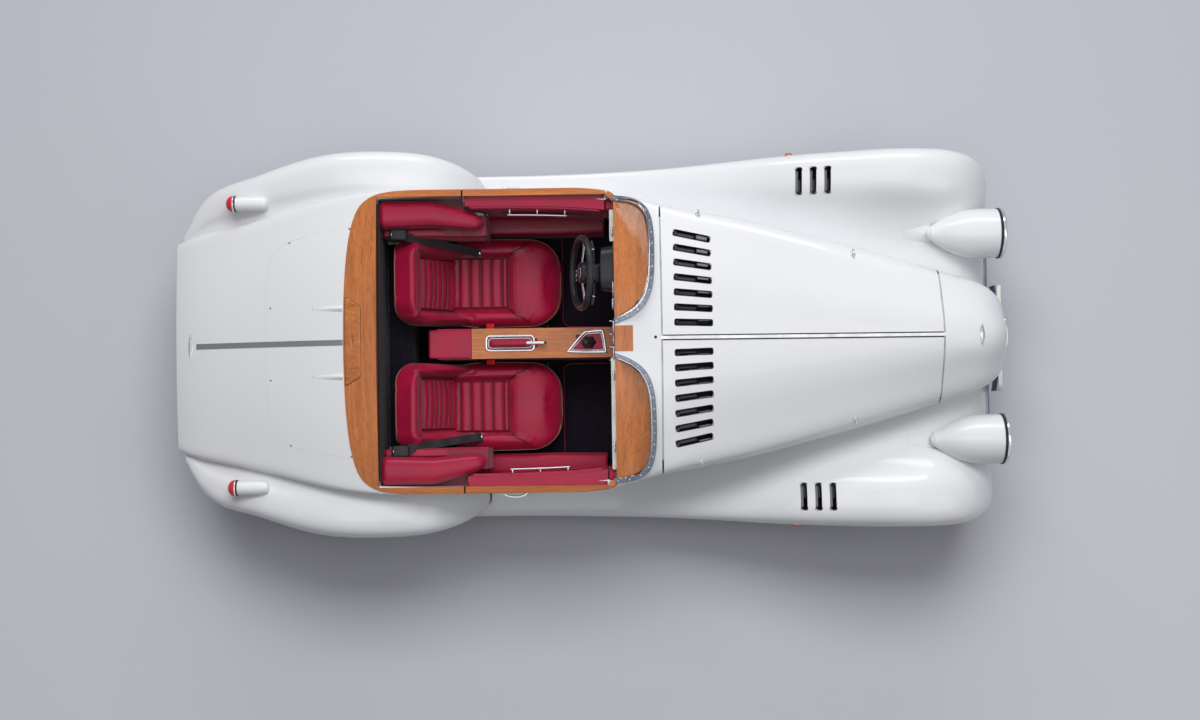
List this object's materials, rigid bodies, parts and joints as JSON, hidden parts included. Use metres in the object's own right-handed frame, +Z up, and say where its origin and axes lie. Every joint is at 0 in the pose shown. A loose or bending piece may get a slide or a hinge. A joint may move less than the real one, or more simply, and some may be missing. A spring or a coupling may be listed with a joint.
{
  "type": "roadster convertible",
  "caption": "Open two-seat roadster with separate sweeping wings, long louvred bonnet, timber-rimmed cockpit and small wind deflectors.",
  "frame": {"origin": "on the ground at the middle of the car's length and width", "axes": "+X to the nose, +Y to the car's left, +Z up"},
  "size_m": [3.98, 1.8206, 1.103],
  "materials": {
    "paint": "gloss pearl",
    "timber": "varnished",
    "hide": "satin",
    "carpet": "matt",
    "webbing": "matt",
    "bright": "polished",
    "clear": "clear",
    "red_glass": "clear",
    "tyre": "matt",
    "alloy": "satin",
    "frame": "satin",
    "steel": "satin",
    "cast": "rough",
    "black": "matt"
  },
  "bodies": {
    "car": {"chassis_frame": "frame", "floor_pan": "carpet", "body_tub": "paint", "rear_deck_panel": "paint", "scuttle": "paint", "engine_bay_sides": "paint", "front_wing_left": "paint", "front_wing_right": "paint", "rear_wing_left": "paint", "rear_wing_right": "paint", "nose_cowl": "paint", "grille": "bright", "front_lip": "black", "bonnet_spine": "bright", "headlamp_lenses": "clear", "headlamp_bezels": "bright", "tail_lamp_lenses": "red_glass", "cockpit_timber": "timber", "dash_timber": "timber", "screen_frames": "bright", "wind_deflectors": "clear", "dashboard": "paint", "steering_column": "black", "centre_console": "hide", "console_timber": "timber", "console_levers": "bright", "seats": "hide", "quarter_trims": "hide", "seat_belts": "webbing", "front_suspension": "steel", "steering_rack": "alloy", "rear_suspension": "cast", "engine_block": "alloy", "radiator": "frame", "exhaust": "steel"},
    "bonnet_half_left": {"bonnet_left": "paint"},
    "door_unit_left": {"door_left": "paint", "door_trim_left": "hide", "door_rail_left": "timber"},
    "steered_left": {"knuckle_left": "cast"},
    "wheel_front_left": {"tyre_front_left": "tyre", "rim_front_left": "alloy"},
    "wheel_rear_left": {"tyre_rear_left": "tyre", "rim_rear_left": "alloy"},
    "bonnet_half_right": {"bonnet_right": "paint"},
    "door_unit_right": {"door_right": "paint", "door_trim_right": "hide", "door_rail_right": "timber"},
    "steered_right": {"knuckle_right": "cast"},
    "wheel_front_right": {"tyre_front_right": "tyre", "rim_front_right": "alloy"},
    "wheel_rear_right": {"tyre_rear_right": "tyre", "rim_rear_right": "alloy"},
    "hand_wheel": {"steering_wheel": "black"}
  },
  "joints": [
    {"name": "bonnet_left_hinge", "type": "hinge", "parent": "car", "child": "bonnet_half_left", "pos_m": [0.318, 0.0075, 0.9822], "axis": [0.9991, 0, -0.0436], "range_deg": [0, 62]},
    {"name": "door_left_hinge", "type": "hinge", "parent": "car", "child": "door_unit_left", "pos_m": [0.05, 0.7, 0.5], "axis": [0, 0, -1], "range_deg": [0, 65]},
    {"name": "steer_left", "type": "hinge", "parent": "car", "child": "steered_left", "pos_m": [1.5, 0.699, 0.332], "axis": [0, 0, 1], "range_deg": [-28, 28]},
    {"name": "wheel_front_left_spin", "type": "hinge", "parent": "steered_left", "child": "wheel_front_left", "pos_m": [1.5, 0.765, 0.332], "axis": [0, 1, 0], "continuous": true},
    {"name": "wheel_rear_left_spin", "type": "hinge", "parent": "car", "child": "wheel_rear_left", "pos_m": [-1.02, 0.765, 0.332], "axis": [0, 1, 0], "continuous": true},
    {"name": "bonnet_right_hinge", "type": "hinge", "parent": "car", "child": "bonnet_half_right", "pos_m": [0.318, -0.0075, 0.9822], "axis": [-0.9991, 0, 0.0436], "range_deg": [0, 62]},
    {"name": "door_right_hinge", "type": "hinge", "parent": "car", "child": "door_unit_right", "pos_m": [0.05, -0.7, 0.5], "axis": [0, 0, 1], "range_deg": [0, 65]},
    {"name": "steer_right", "type": "hinge", "parent": "car", "child": "steered_right", "pos_m": [1.5, -0.699, 0.332], "axis": [0, 0, 1], "range_deg": [-28, 28]},
    {"name": "wheel_front_right_spin", "type": "hinge", "parent": "steered_right", "child": "wheel_front_right", "pos_m": [1.5, -0.765, 0.332], "axis": [0, 1, 0], "continuous": true},
    {"name": "wheel_rear_right_spin", "type": "hinge", "parent": "car", "child": "wheel_rear_right", "pos_m": [-1.02, -0.765, 0.332], "axis": [0, 1, 0], "continuous": true},
    {"name": "steering_wheel_turn", "type": "hinge", "parent": "car", "child": "hand_wheel", "pos_m": [-0.05, 0.31, 0.842], "axis": [-0.9659, 0, 0.2588], "range_deg": [-392, 392]}
  ],
  "couplings": [
    {"joint": "steer_right", "follows": "steer_left", "ratio": 1},
    {"joint": "steering_wheel_turn", "follows": "steer_left", "ratio": 14}
  ]
}
